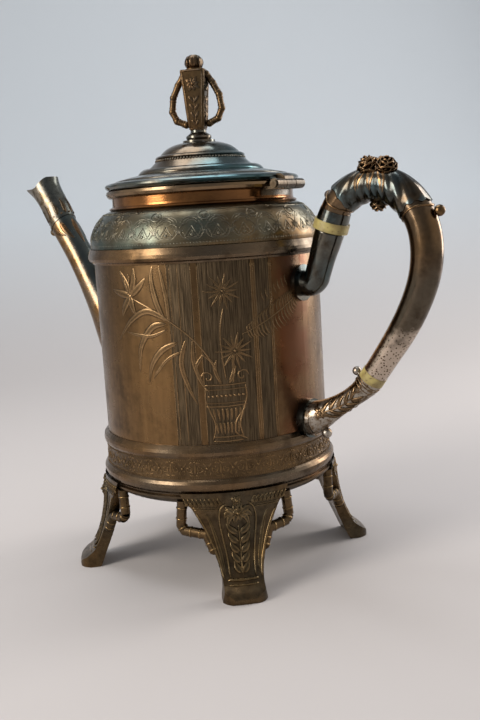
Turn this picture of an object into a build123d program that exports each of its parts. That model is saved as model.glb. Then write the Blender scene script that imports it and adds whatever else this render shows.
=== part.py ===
"""Antique footed coffee pot with a hinged domed lid, built as an assembly of soldered and pinned pieces.

Frame: +Z up, floor at Z = 0, body axis on the Z axis, handle towards +X, spout towards -X,
feet at 45, 135, 225 and 315 degrees. Millimetres. Heights below are drawn from a datum under
the feet; FLOOR_Z is where the feet are levelled, and every piece is lowered by it at the end.
"""
from build123d import *
from math import cos, hypot, radians, sin, sqrt
import os

FLOOR_Z = 1.5

# Driving dimensions of the body
WALL_R = 59.0
SHEET = 1.2
SEAM = 0.02
WALL_BOTTOM = 51.0
WALL_TOP = 165.0
NECK_R = 47.4
NECK_BOTTOM = 190.6
NECK_TOP = 198.6
RIM_R = 50.3

# Lid
LID_R = 50.5
LID_EDGE_Z = 201.2
LID_TOP_Z = 223.4
BEZEL_GAP = 0.6

# Lid hinge on the handle side
HINGE_X = 54.0
HINGE_Z = 198.6
HINGE_PIN_R = 1.0
HINGE_PIN_GAP = 0.05
BARREL_R = 2.5
KNUCKLE_LENGTH = 7.6
KNUCKLE_GAP = 0.4

# Finial
FINIAL_TURN = 25.0
VASE_FOOT_HALF = 3.6
VASE_TOP_HALF = 6.2
VASE_FOOT_Z = 229.4
VASE_TOP_Z = 259.4
BUD_R = 4.3
BUD_TOP_Z = 267.0
SCREW_R = 1.6
TWIG_R = 1.65

# Handle, in the plane Y = 0
GRIP_R = 7.5
GRIP_END_R = 6.1
LEAF_THICK = 0.9
TUBE_WALL = 1.2
SOCKET_LEAN = 20.0
LOWER_LEAN = 36.9
INSULATOR_THICK = 4.6
UPPER_INSULATOR_R = 8.6
LOWER_INSULATOR_R = 6.3
REACH = 137.2

# Feet
FOOT_ANGLES = (45, 135, 225, 315)
FOOT_PANEL_HALF = 26.8
BAMBOO_R = 2.5
BRACKET_TOP = 48.9

# Spout
SPOUT_WALL = 1.3
SPOUT_TILT = 32.5
STRAINER_HOLE_R = 1.3
STRAINER_PITCH = 4.6

nodes = {}


def revolve_ring(points):
    """Closed profile of (radius, height) points turned about the body axis."""
    return revolve(make_face(Plane.XZ * Polyline(*points, close=True)), Axis.Z)


def offset_profile(points, depth):
    """The same open profile moved sideways by depth, to the left of its direction."""
    moved = []
    for i, (r, z) in enumerate(points):
        r0, z0 = points[max(i - 1, 0)]
        r1, z1 = points[min(i + 1, len(points) - 1)]
        length = hypot(r1 - r0, z1 - z0)
        moved.append((max(r - depth * (z1 - z0) / length, 0.0), z + depth * (r1 - r0) / length))
    return moved


def revolve_shell(points, depth):
    """Sheet of even thickness with a smooth profile, turned about the body axis."""
    outer = [Vector(r, 0, z) for r, z in points]
    inner = [Vector(r, 0, z) for r, z in offset_profile(points, depth)]
    edges = [Spline(*outer), Line(outer[-1], inner[-1]), Spline(*reversed(inner)), Line(inner[0], outer[0])]
    return revolve(make_face(edges), Axis.Z)


def tube_along(stations):
    """Round solid through stations of (x, z, lean from vertical in degrees, radius) in the plane Y = 0."""
    faces = []
    for x, z, lean, radius in stations:
        normal = (sin(radians(lean)), 0, cos(radians(lean)))
        faces.append(Plane(origin=(x, 0, z), x_dir=(0, 1, 0), z_dir=normal) * Circle(radius))
    return loft(faces)


def rod(start, end, radius):
    """Straight round bar between two points."""
    axis = Vector(*end) - Vector(*start)
    plane = Plane(origin=start, z_dir=axis)
    return plane * Cylinder(radius, axis.length, align=(Align.CENTER, Align.CENTER, Align.MIN))


def cylinder_x(x0, x1, z, radius, y=0.0):
    """Round bar along X from x0 to x1."""
    return rod((x0, y, z), (x1, y, z), radius)


def half_space(x, z, lean):
    """Everything on the far side of a plane square to the given lean at (x, z) in the plane Y = 0."""
    plane = Plane(origin=(x, 0, z), x_dir=(0, 1, 0), z_dir=(sin(radians(lean)), 0, cos(radians(lean))))
    return plane * Pos(0, 0, 150) * Box(300, 300, 300)


def pot_outside():
    """Space inside the wall's outer face, with the solder seam, used to trim what sits on the wall."""
    return Cylinder(WALL_R + SEAM, 260, align=(Align.CENTER, Align.CENTER, Align.MIN))


# Body

BASE_PROFILE = [(0, 36.0), (18, 36.8), (34, 39.6), (46, 43.0), (54, 45.8), (58.6, 47.9), (60.0, 50.0)]
SHOULDER_PROFILE = [(59.0, 165.0), (59.3, 169.0), (60.3, 173.4), (59.6, 178.0), (57.7, 182.6),
                    (55.0, 186.6), (51.8, 189.2), (47.4, 190.6)]


def strainer_holes():
    """Drilled holes through the wall inside the spout root, in staggered rows."""
    holes = []
    for row in range(8):
        height = 93.0 + row * STRAINER_PITCH * 0.87
        count = 3 if row % 2 else 4
        if row in (0, 7):
            count -= 2
        for i in range(count):
            y = (i - (count - 1) / 2) * STRAINER_PITCH
            holes.append(cylinder_x(-WALL_R - 4, -WALL_R + 6, height, STRAINER_HOLE_R, y))
    return holes


def make_body():
    wall = revolve_ring([(WALL_R - SHEET, WALL_BOTTOM), (WALL_R, WALL_BOTTOM), (WALL_R, WALL_TOP - SEAM),
                         (WALL_R - SHEET, WALL_TOP - SEAM)])
    for hole in strainer_holes():
        wall -= hole
    nodes["body_wall"] = wall
    base = revolve_shell(BASE_PROFILE, SHEET)
    base += revolve_ring([(WALL_R - SHEET, 49.0), (60.4, 49.0), (61.2, 50.0), (61.2, WALL_BOTTOM - SEAM),
                          (WALL_R - SHEET, WALL_BOTTOM - SEAM)])
    nodes["base_dish"] = base
    inner = WALL_R + SEAM
    nodes["foot_rim_moulding"] = revolve_ring(
        [(inner, WALL_BOTTOM), (60.2, WALL_BOTTOM), (60.6, 52.4), (61.7, 53.8), (62.3, 55.6), (62.3, 57.2),
         (61.5, 58.6), (60.6, 59.4), (inner, 59.4)])
    nodes["lower_band"] = revolve_ring(
        [(inner, 59.42), (60.4, 59.42), (60.1, 63.0), (60.0, 66.0), (60.3, 69.98), (inner, 69.98)])
    nodes["upper_band_moulding"] = revolve_ring(
        [(inner, 70.0), (60.6, 70.0), (61.3, 71.2), (61.5, 72.8), (61.2, 74.4), (60.2, 75.6), (59.5, 76.4),
         (inner, 76.4)])
    nodes["girdle_moulding"] = revolve_ring(
        [(60.4, 171.6), (60.45, 170.4), (59.6, 169.0), (inner + 0.3, 166.0), (inner, 164.0), (59.7, 164.0),
         (60.0, 164.9), (61.4, 165.6), (62.0, 167.0), (61.9, 168.6), (61.3, 170.2), (60.9, 171.6)])
    nodes["shoulder"] = revolve_shell(SHOULDER_PROFILE, SHEET)


def make_neck():
    ledge_r = NECK_R + 1.8
    nodes["neck_collar"] = revolve_ring(
        [(NECK_R - SHEET, NECK_BOTTOM + SEAM), (ledge_r - 0.6, NECK_BOTTOM + SEAM), (ledge_r, 191.2),
         (ledge_r - 0.4, 191.9), (NECK_R + 0.2, 192.3), (NECK_R, 193.2), (NECK_R, NECK_TOP), (NECK_R - SHEET, NECK_TOP)])
    rim = revolve_ring(
        [(NECK_R + SEAM, 196.6), (NECK_R + 1.4, 196.8), (RIM_R - 0.6, 197.6), (RIM_R, 198.9), (RIM_R - 0.4, 200.2),
         (RIM_R - 1.8, 200.9), (NECK_R - SHEET, 200.9), (NECK_R - SHEET, NECK_TOP + SEAM),
         (NECK_R + SEAM, NECK_TOP + SEAM)])
    notch = Pos(HINGE_X, 0, HINGE_Z) * Box(2 * (HINGE_X - 48.8), 26.4, 12)
    nodes["rim_moulding"] = rim - notch


# Lid

LID_PROFILE = [(8.0, 223.2), (13.3, 222.2), (17.8, 220.1), (20.6, 217.5), (22.3, 215.4), (24.7, 212.9),
               (27.8, 210.2), (31.4, 208.3), (37.0, 207.0), (44.0, 205.2), (48.4, 203.7)]


def make_lid():
    shell = revolve_shell([(2.2, 223.6)] + LID_PROFILE, -SHEET)
    edge = revolve_ring([(47.6, LID_EDGE_Z), (49.6, LID_EDGE_Z), (LID_R, 202.3), (LID_R, 203.1), (49.6, 203.9),
                         (48.2, 204.3), (46.6, 203.6)])
    nodes["lid_dome"] = shell + edge
    outer = NECK_R - SHEET - BEZEL_GAP
    bezel = revolve_ring([(outer - 1.0, 194.6), (outer, 194.6), (outer, 203.6), (outer - 1.0, 203.9)])
    nodes["lid_bezel"] = bezel - nodes["lid_dome"]
    step = [(21.6, 217.15), (22.8, 216.6), (23.4, 215.9), (23.0, 215.3)]
    nodes["lid_step_moulding"] = revolve_ring(step) - nodes["lid_dome"]


def make_finial():
    turn = Rot(0, 0, FINIAL_TURN)
    collar = revolve_ring([(SCREW_R, LID_TOP_Z + 0.5), (8.4, LID_TOP_Z - 0.1), (8.4, 224.2), (6.0, 224.6),
                           (6.6, 225.4), (6.6, 226.4), (5.4, 227.4), (4.2, 228.2), (4.0, VASE_FOOT_Z - SEAM),
                           (SCREW_R, VASE_FOOT_Z - SEAM)])
    nodes["finial_collar"] = collar - nodes["lid_dome"]
    sections = []
    for z, half in ((VASE_FOOT_Z, VASE_FOOT_HALF), (234.0, 4.4), (241.0, 4.9), (248.0, 5.3), (255.5, 5.9),
                    (VASE_TOP_Z, VASE_TOP_HALF)):
        sections.append(Pos(0, 0, z) * RectangleRounded(2 * half, 2 * half, 0.7))
    vase = loft(sections) - Pos(0, 0, VASE_FOOT_Z) * Cylinder(SCREW_R, 14)
    nodes["finial_vase"] = turn * vase
    seat = VASE_TOP_Z + SEAM
    bud = Pos(0, 0, 263.2) * Sphere(BUD_R)
    bud = bud & Pos(0, 0, seat) * Cylinder(8, BUD_TOP_Z - seat, align=(Align.CENTER, Align.CENTER, Align.MIN))
    neck = revolve_ring([(0, seat), (4.7, seat), (4.5, seat + 0.7), (3.6, seat + 1.4), (0, seat + 1.4)])
    nodes["finial_bud"] = bud + neck
    twigs = []
    for side in (1, -1):
        knots = [(6.0, 257.2), (9.2, 252.6), (12.2, 246.6), (13.2, 239.6), (11.0, 234.8), (6.2, 232.6)]
        for (x0, z0), (x1, z1) in zip(knots, knots[1:]):
            twigs.append(rod((side * x0, 0, z0), (side * x1, 0, z1), TWIG_R))
        for x, z in knots:
            twigs.append(Pos(side * x, 0, z) * Sphere(TWIG_R + 0.25))
    handles = turn * (twigs[0].fuse(*twigs[1:]))
    nodes["finial_handles"] = handles - nodes["finial_vase"]
    nodes["finial_screw"] = Pos(0, 0, 217.2) * Cylinder(
        SCREW_R - SEAM, VASE_FOOT_Z + 6.8 - 217.2, align=(Align.CENTER, Align.CENTER, Align.MIN))
    nut = Pos(0, 0, 219.2) * extrude(RegularPolygon(4.2, 6), 2.6)
    nodes["finial_nut"] = nut - Pos(0, 0, 220) * Cylinder(SCREW_R, 12)


# Hinge

def knuckle(y_centre):
    barrel = rod((HINGE_X, y_centre - KNUCKLE_LENGTH / 2, HINGE_Z), (HINGE_X, y_centre + KNUCKLE_LENGTH / 2, HINGE_Z),
                 BARREL_R)
    return barrel


def make_hinge():
    pitch = KNUCKLE_LENGTH + KNUCKLE_GAP
    bore = rod((HINGE_X, -20, HINGE_Z), (HINGE_X, 20, HINGE_Z), HINGE_PIN_R + HINGE_PIN_GAP)
    tight = rod((HINGE_X, -20, HINGE_Z), (HINGE_X, 20, HINGE_Z), HINGE_PIN_R + SEAM / 2)
    body_leaf = None
    for y in (-pitch, pitch):
        strap = Pos((NECK_R + HINGE_X) / 2, y, HINGE_Z - 1.7) * Box(HINGE_X - NECK_R, KNUCKLE_LENGTH, 1.6)
        piece = knuckle(y) + strap
        body_leaf = piece if body_leaf is None else body_leaf + piece
    plate = revolve_ring([(NECK_R + SEAM, 193.4), (NECK_R + 1.3, 193.4), (NECK_R + 1.3, 196.5), (NECK_R + SEAM, 196.5)])
    plate &= Pos(NECK_R, 0, 195) * Box(14, 2 * pitch + KNUCKLE_LENGTH, 12)
    leaf = body_leaf + plate
    leaf -= Cylinder(NECK_R + SEAM, 600)
    leaf -= nodes["rim_moulding"]
    nodes["hinge_body_leaf"] = leaf - tight
    arm_side = [(HINGE_X - 1.0, HINGE_Z + 1.6), (HINGE_X + 1.4, HINGE_Z + 1.6), (HINGE_X + 0.8, HINGE_Z + 3.6),
                (HINGE_X - 1.6, HINGE_Z + 5.0), (LID_R - 0.6, HINGE_Z + 5.0), (LID_R - 0.6, HINGE_Z + 2.8),
                (HINGE_X - 2.2, HINGE_Z + 2.8)]
    arm = extrude(make_face(Plane.XZ * Polyline(*arm_side, close=True)), KNUCKLE_LENGTH / 2, both=True)
    nodes["hinge_lid_leaf"] = knuckle(0) + arm - bore - nodes["lid_dome"]
    half = pitch + KNUCKLE_LENGTH / 2
    pin = rod((HINGE_X, -half, HINGE_Z), (HINGE_X, half, HINGE_Z), HINGE_PIN_R)
    heads = [rod((HINGE_X, s * (half + SEAM), HINGE_Z), (HINGE_X, s * (half + 0.9), HINGE_Z), 1.9) for s in (-1, 1)]
    nodes["hinge_pin"] = pin + heads[0] + heads[1] + rod((HINGE_X, -half - 0.5, HINGE_Z), (HINGE_X, half + 0.5, HINGE_Z),
                                                         HINGE_PIN_R)


# Spout

def spout_section(x, z, tilt, a, b, point=0.0):
    """Rounded section across the spout, drawn out to a point on its outer side by the given length."""
    plane = Plane(origin=(-x, 0, z), x_dir=(-cos(radians(tilt)), 0, -sin(radians(tilt))),
                  z_dir=(-sin(radians(tilt)), 0, cos(radians(tilt))))
    count = 16
    rim = []
    for i in range(count):
        t = radians(360 * i / count)
        along = a * cos(t) + point * max(cos(t), 0) ** 5
        rim.append(plane.from_local_coords(Vector(along, b * sin(t), 0)))
    return make_face(Spline(*rim, periodic=True))


ROOT_SECTIONS = [(55.0, 84.0, 0, 5.5, 6.5), (58.5, 93.0, 4, 10.5, 10.0), (62.5, 104.0, 9, 13.0, 11.6),
                 (67.5, 116.0, 15, 13.4, 11.6), (74.0, 129.0, 22, 11.6, 10.6), (81.6, 142.5, 27, 9.4, 9.4),
                 (90.3, 157.5, 31, 8.2, 8.4), (99.4, 172.3, SPOUT_TILT, 7.8, 7.9), (109.0, 187.4, SPOUT_TILT, 7.7, 7.7)]
TIP_SECTIONS = [(109.0, 187.4, SPOUT_TILT, 8.1, 8.1, 0.0), (112.9, 194.6, SPOUT_TILT, 8.2, 8.2, 0.0),
                (117.0, 201.0, SPOUT_TILT - 2, 8.3, 8.3, 0.2), (120.5, 206.5, 24, 8.8, 8.5, 2.0),
                (123.2, 211.5, 13, 10.2, 8.6, 5.6), (124.6, 215.5, 8, 11.0, 8.6, 6.4)]


def spout_solid(sections, grow):
    shaped = []
    for section in sections:
        x, z, tilt, a, b = section[:5]
        point = section[5] if len(section) > 5 else 0.0
        shaped.append(spout_section(x, z, tilt, a + grow, b + grow, point))
    return loft(shaped)


def make_spout():
    outside = spout_solid(ROOT_SECTIONS, 0.0)
    inside = spout_solid(ROOT_SECTIONS, -SPOUT_WALL)
    joint = Plane(origin=(-109.0, 0, 187.4), z_dir=(-sin(radians(SPOUT_TILT)), 0, cos(radians(SPOUT_TILT))))
    end_bore = joint * Cylinder(7.4 - SPOUT_WALL, 6)
    nodes["spout_tube"] = outside - inside - end_bore - pot_outside()
    lip = [(-104.0, 214.8), (-115.0, 214.2), (-116.6, 213.0), (-121.0, 208.4), (-124.0, 207.5), (-150.0, 207.5),
           (-150.0, 240.0), (-104.0, 240.0)]
    trim = extrude(make_face(Plane.XZ * Polyline(*lip, close=True)), 40, both=True)
    beyond = Pos(-REACH - 20, 0, 200) * Box(40, 60, 60)
    tip = spout_solid(TIP_SECTIONS, 0.0) - spout_solid(TIP_SECTIONS, -SPOUT_WALL) - end_bore - trim - beyond
    nodes["spout_lip"] = tip - joint * Pos(0, 0, -20 + SEAM) * Cylinder(30, 40)
    grown = spout_solid(ROOT_SECTIONS, 0.5)
    sleeve = grown - spout_solid(ROOT_SECTIONS, SEAM) - half_space(-109.6, 184.9, 138.0)
    nodes["spout_sleeve"] = sleeve
    nodes["spout_sleeve_drop"] = (Pos(-117.3, 0, 181.4) * Sphere(2.3)) - grown


# Handle

def lean_dir(lean):
    return Vector(sin(radians(lean)), 0, cos(radians(lean)))


UPPER_END = Vector(76.9, 0, 175.0)
LOWER_END = Vector(95.9, 0, 103.2)
GRIP_STATIONS = [(80.6, 184.2, 24, 7.2), (84.0, 188.6, 48, 7.4), (89.4, 192.2, 62, GRIP_R), (96.4, 194.6, 78, GRIP_R),
                 (104.0, 195.0, 96, GRIP_R), (111.8, 192.4, 117, GRIP_R), (118.8, 186.8, 140, GRIP_R),
                 (123.8, 179.0, 156, GRIP_R), (126.4, 169.4, 172, GRIP_R), (126.4, 159.4, 186, 7.4),
                 (124.2, 149.4, 199, 7.2), (120.2, 139.6, 207, 7.0), (115.0, 130.0, 212, 6.8),
                 (109.0, 121.0, 215, 6.5), (102.8, 112.4, 216.9, 6.2), (98.7, 106.9, 216.9, GRIP_END_R)]


def make_handle():
    up = lean_dir(SOCKET_LEAN)
    low = lean_dir(LOWER_LEAN)
    foot = UPPER_END - up * 26.6
    stub = cylinder_x(WALL_R - 2, foot.X, foot.Z, 5.6)
    shaft = tube_along([(foot.X, foot.Z, SOCKET_LEAN, 5.4), (foot.X + up.X * 13, foot.Z + up.Z * 13, SOCKET_LEAN, 6.2),
                        (UPPER_END.X, UPPER_END.Z, SOCKET_LEAN, 7.3)])
    socket = shaft + stub + Pos(foot.X, 0, foot.Z) * Sphere(6.6)
    boss = cylinder_x(WALL_R - 4, WALL_R + 1.6, foot.Z, 9.0) - pot_outside()
    nodes["handle_upper_boss"] = boss
    nodes["handle_upper_socket"] = socket - pot_outside() - boss
    start = UPPER_END + up * SEAM
    end = UPPER_END + up * INSULATOR_THICK
    nodes["handle_upper_insulator"] = rod(tuple(start), tuple(end), UPPER_INSULATOR_R)
    ferrule_start = end + up * SEAM
    ferrule_end = Vector(80.6, 0, 184.2) - lean_dir(24) * SEAM
    nodes["handle_ferrule"] = tube_along([(ferrule_start.X, ferrule_start.Z, SOCKET_LEAN, 7.9),
                                          (ferrule_end.X, ferrule_end.Z, 24, 7.5)])
    grip = tube_along(GRIP_STATIONS)
    hollow = tube_along([(x, z, lean, r - TUBE_WALL) for x, z, lean, r in GRIP_STATIONS[1:-1]])
    nodes["handle_grip"] = grip - hollow
    grown = tube_along([(x, z, lean, r + LEAF_THICK) for x, z, lean, r in GRIP_STATIONS])
    core = tube_along([(x, z, lean, r + SEAM) for x, z, lean, r in GRIP_STATIONS])
    first, last = GRIP_STATIONS[1], GRIP_STATIONS[7]
    leaf = grown - half_space(first[0], first[1], first[2] + 180) - half_space(last[0], last[1], last[2])
    nodes["handle_leaf_wrap"] = leaf - core
    rose = Pos(104.5, 0, 201.0) * scale(Sphere(1), (10.5, 8.4, 7.6))
    nodes["handle_rose"] = rose - leaf - grip
    drop = Pos(103.4, 0, 184.6) * scale(Sphere(1), (5.4, 5.0, 3.8))
    nodes["handle_drop"] = drop - leaf - grip
    nodes["handle_knobs"] = Compound(children=[
        (Pos(77.2, 0, 191.6) * Sphere(2.3)) - grown - nodes["handle_ferrule"],
        (Pos(133.2, 0, 181.4) * Sphere(2.6)) - grown])
    low_start = LOWER_END + low * INSULATOR_THICK
    nodes["handle_lower_insulator"] = rod(tuple(LOWER_END + low * SEAM), tuple(low_start - low * SEAM),
                                          LOWER_INSULATOR_R)
    casting = tube_along([(LOWER_END.X, LOWER_END.Z, 216.9, 6.2), (89.4, 97.0, 231, 5.3), (81.6, 91.8, 239, 5.0),
                          (74.4, 87.6, 241, 5.8), (69.0, 84.6, 248, 7.0), (64.4, 82.2, 262, 8.4)])
    scroll = rod((92.4, 0, 103.8), (88.8, 0, 106.8), 1.4) + Pos(88.4, 0, 107.2) * Sphere(2.2)
    disc = cylinder_x(62.0, 64.6, 81.6, 8.8)
    boss_low = cylinder_x(WALL_R - 4, 62.0 - SEAM, 81.6, 9.9) - pot_outside() - nodes["upper_band_moulding"]
    nodes["handle_lower_boss"] = boss_low - revolve_ring([(58, 60), (61.6, 60), (61.6, 76.45), (58, 76.45)])
    socket_low = casting + scroll + disc - nodes["handle_lower_insulator"]
    nodes["handle_lower_socket"] = socket_low - Cylinder(62.0, 600)
    nodes["handle_lower_drop"] = Pos(69.8, 0, 74.6) * Sphere(2.6) - nodes["handle_lower_socket"]


# Feet

FOOT_OUTER = [(62.6, 53.0), (62.9, 47.0), (63.5, 39.0), (64.8, 31.0), (66.9, 23.0), (70.0, 15.8), (73.8, 10.8),
              (77.4, 8.2), (79.8, 5.4), (79.4, 2.7), (77.8, FLOOR_Z)]
FOOT_INNER = [(71.0, FLOOR_Z), (68.8, 5.0), (66.3, 10.6), (63.4, 18.0), (61.0, 26.0), (59.2, 34.0), (57.6, 42.0),
              (56.0, 53.0)]
FOOT_EDGE = [(FOOT_PANEL_HALF, 53.0), (26.0, 51.0), (22.2, 46.2), (19.0, 40.4), (15.9, 34.0), (13.2, 26.2),
             (11.2, 19.4), (10.0, 12.5), (10.2, 7.0), (10.8, 4.0), (10.4, 0.5)]
TOE_PLAN = [(30.0, 62.0), (14.0, 68.0), (11.4, 73.4), (8.6, 77.8), (4.4, 80.0), (0.0, 80.4)]


def foot_outline(grow):
    """Prism along +X with the leg's front outline, each edge moved out by grow."""
    right = [Vector(0, y + grow, z) for y, z in FOOT_EDGE]
    left = [Vector(0, -y - grow, z) for y, z in FOOT_EDGE]
    edges = [Spline(*right), Line(right[-1], left[-1]), Spline(*reversed(left)), Line(left[0], right[0])]
    return extrude(make_face(edges), 100, dir=(1, 0, 0))


def foot_blank():
    """Leg standing in the +X direction: a panel curved round the base, cut to its outline."""
    outer = [Vector(r, 0, z) for r, z in FOOT_OUTER]
    inner = [Vector(r, 0, z) for r, z in FOOT_INNER]
    side = make_face([Spline(*outer), Line(outer[-1], inner[0]), Spline(*inner), Line(inner[-1], outer[0])])
    panel = Rot(0, 0, -40) * revolve(side, Axis.Z, 80)
    near = [Vector(x, y, 0) for y, x in TOE_PLAN]
    far = [Vector(x, -y, 0) for y, x in TOE_PLAN]
    toe = make_face([Line(Vector(40, 30, 0), near[0]), Spline(*near), Spline(*reversed(far)),
                     Line(far[0], Vector(40, -30, 0)), Line(Vector(40, -30, 0), Vector(40, 30, 0))])
    return (panel & foot_outline(0)) & extrude(toe, 80, dir=(0, 0, 1))


def on_curve(radius, y, z):
    return (sqrt(radius * radius - y * y), y, z)


def bamboo_bracket(side):
    """Bent bamboo twig beside the leg: an upright, a crossbar and a short spur."""
    bends = [on_curve(59.8, side * 25.6, 50.0), on_curve(60.0, side * 26.9, 36.4), on_curve(60.4, side * 25.4, 33.6),
             on_curve(62.0, side * 15.2, 32.4), on_curve(64.0, side * 12.6, 25.4)]
    path = Polyline(*bends)
    start = Plane(origin=bends[0], z_dir=Vector(*bends[1]) - Vector(*bends[0]))
    twig = sweep(start * Circle(BAMBOO_R), path=path, transition=Transition.ROUND)
    return twig + Pos(*bends[-1]) * Sphere(BAMBOO_R + 0.1)


def make_feet():
    curve = [Vector(r, 0, z) for r, z in BASE_PROFILE]
    top = [curve[-1], Vector(60, 0, 70), Vector(0, 0, 70), curve[0]]
    bowl = revolve(make_face([Spline(*curve), Polyline(*top)]), Axis.Z)
    rim = Pos(0, 0, 48.9) * Cylinder(62.6, 30, align=(Align.CENTER, Align.CENTER, Align.MIN))
    base_space = Pos(0, 0, -5 * SEAM) * bowl + rim
    leg = foot_blank() - base_space
    above = Pos(0, 0, BRACKET_TOP) * Box(300, 300, 60, align=(Align.CENTER, Align.CENTER, Align.MIN))
    brackets = [bamboo_bracket(side) - foot_outline(SEAM) - above for side in (1, -1)]
    names = ("right", "back", "left", "front")
    for name, angle in zip(names, FOOT_ANGLES):
        nodes[f"foot_{name}"] = Rot(0, 0, angle) * leg
        nodes[f"foot_{name}_bamboo"] = Compound(children=[Rot(0, 0, angle) * piece for piece in brackets])


make_body()
make_neck()
make_lid()
make_finial()
make_hinge()
make_spout()
make_handle()
make_feet()

os.makedirs("parts", exist_ok=True)
for name, shape in nodes.items():
    export_step(Pos(0, 0, -FLOOR_Z) * shape, f"parts/{name}.step")
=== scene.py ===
import bmesh
import bpy
from math import atan2, cos, hypot, pi, radians, sin, sqrt
from mathutils import Matrix, Vector


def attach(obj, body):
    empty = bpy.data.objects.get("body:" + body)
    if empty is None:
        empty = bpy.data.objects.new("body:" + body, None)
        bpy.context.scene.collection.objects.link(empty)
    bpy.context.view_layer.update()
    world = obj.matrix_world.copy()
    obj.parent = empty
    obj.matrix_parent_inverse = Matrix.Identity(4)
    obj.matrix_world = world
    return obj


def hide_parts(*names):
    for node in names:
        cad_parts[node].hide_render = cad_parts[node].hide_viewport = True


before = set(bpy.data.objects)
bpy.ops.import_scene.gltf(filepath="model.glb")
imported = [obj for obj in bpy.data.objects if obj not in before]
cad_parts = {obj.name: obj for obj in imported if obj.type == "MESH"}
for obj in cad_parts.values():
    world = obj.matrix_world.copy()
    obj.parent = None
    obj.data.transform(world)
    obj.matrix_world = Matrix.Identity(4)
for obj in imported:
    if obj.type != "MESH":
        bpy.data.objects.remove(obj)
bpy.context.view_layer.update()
MM = 0.001

# Camera: about half a metre in front of the pot, a little above its lid, looking slightly down and
# rolled clockwise. The handle points away to the right of it.
CAMERA_DISTANCE, CAMERA_HEIGHT = 481.3 * MM, 182.8 * MM
PITCH, ROLL, YAW, TURN = 0.1585, 0.0615, 0.0297, radians(39)
ahead = Vector((sin(YAW) * cos(PITCH), cos(YAW) * cos(PITCH), -sin(PITCH)))
right = Vector((cos(YAW), -sin(YAW), 0))
above = Vector((sin(YAW) * sin(PITCH), cos(YAW) * sin(PITCH), cos(PITCH)))
view_x = right * cos(ROLL) - above * sin(ROLL)
view_y = right * sin(ROLL) + above * cos(ROLL)
to_model = Matrix.Rotation(TURN, 4, "Z")
lens = bpy.data.cameras.new("camera")
lens.lens, lens.sensor_width = 45, 36


def show(name, data):
    """Puts an object in the scene."""
    item = bpy.data.objects.new(name, data)
    bpy.context.scene.collection.objects.link(item)
    return item


camera = show("camera", lens)
facing = Matrix((view_x, view_y, -ahead)).transposed().to_4x4()
camera.matrix_world = to_model @ Matrix.Translation((0, -CAMERA_DISTANCE, CAMERA_HEIGHT)) @ facing
bpy.context.scene.camera = camera
bpy.context.scene.view_settings.view_transform = "Standard"


# Studio: a pale floor that curves up into a blue-grey backdrop, lit by a broad soft lamp from the left,
# a second one from the right behind the handle and a weak one overhead.
def wire(tree, kind, settings=None, **values):
    """Adds a node. A value is a number, a colour or another node's output; _0 names an input by place."""
    made = tree.nodes.new(kind)
    for key, value in (settings or {}).items():
        setattr(made, key, value)
    for key, value in values.items():
        socket = made.inputs[int(key[1:])] if key[1:].isdigit() else made.inputs[key.replace("_", " ")]
        if isinstance(value, bpy.types.NodeSocket):
            tree.links.new(value, socket)
        elif socket.type == "RGBA":
            socket.default_value = (*value, 1)
        else:
            socket.default_value = value
    return made


def mixed(tree, factor, first, second):
    """Colour between two others."""
    return wire(tree, "ShaderNodeMix", {"data_type": "RGBA"}, _0=factor, _6=first, _7=second).outputs[2]


def ramped(tree, value, low, high, out_low=0.0, out_high=1.0):
    """Value stretched from one range to another and held at its ends."""
    return wire(tree, "ShaderNodeMapRange", _0=value, _1=low, _2=high, _3=out_low, _4=out_high).outputs[0]


def reckon(tree, operation, *values):
    """Result of one sum on up to three values."""
    inputs = {"_%d" % place: value for place, value in enumerate(values)}
    return wire(tree, "ShaderNodeMath", {"operation": operation}, **inputs).outputs[0]


def noise(tree, place, scale, detail, **more):
    """Noise at a place."""
    return wire(tree, "ShaderNodeTexNoise", Vector=place, Scale=scale, Detail=detail, **more).outputs[0]


def here(tree, output="Object"):
    """Where the shaded point is, in the pot's own frame unless another output is named."""
    return wire(tree, "ShaderNodeTexCoord").outputs[output]


def inside(finish):
    """A material's node tree and shader."""
    return finish.node_tree, finish.node_tree.nodes["Principled BSDF"]


def carried(shader, name):
    """Output that is already linked to a shader's input."""
    return shader.inputs[name].links[0].from_socket


def blank(name):
    """New material with its node tree and shader."""
    finish = bpy.data.materials.new(name)
    finish.use_nodes = True
    return finish, *inside(finish)


LIT_POINT = Vector((0, 0, 0.12))


def lamp(name, right_of, ahead_of, height, size, power, colour):
    """Area lamp placed from the camera's point of view and turned to the pot."""
    data = bpy.data.lights.new(name, "AREA")
    data.shape, data.size, data.size_y = "RECTANGLE", size[0], size[1]
    data.energy, data.color = power, colour
    item = show(name, data)
    place = to_model @ Vector((right_of, ahead_of, height))
    item.location = place
    item.rotation_euler = (place - LIT_POINT).to_track_quat("Z", "Y").to_euler()


lamp("lamp_left", -0.75, -0.45, 0.50, (0.35, 0.60), 7.0, (1.0, 0.95, 0.88))
lamp("lamp_right", 0.80, 0.35, 0.40, (0.35, 0.70), 6.0, (1.0, 0.96, 0.92))
lamp("lamp_top", -0.10, 0.15, 0.95, (0.60, 0.50), 4.0, (0.92, 0.96, 1.0))

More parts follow.
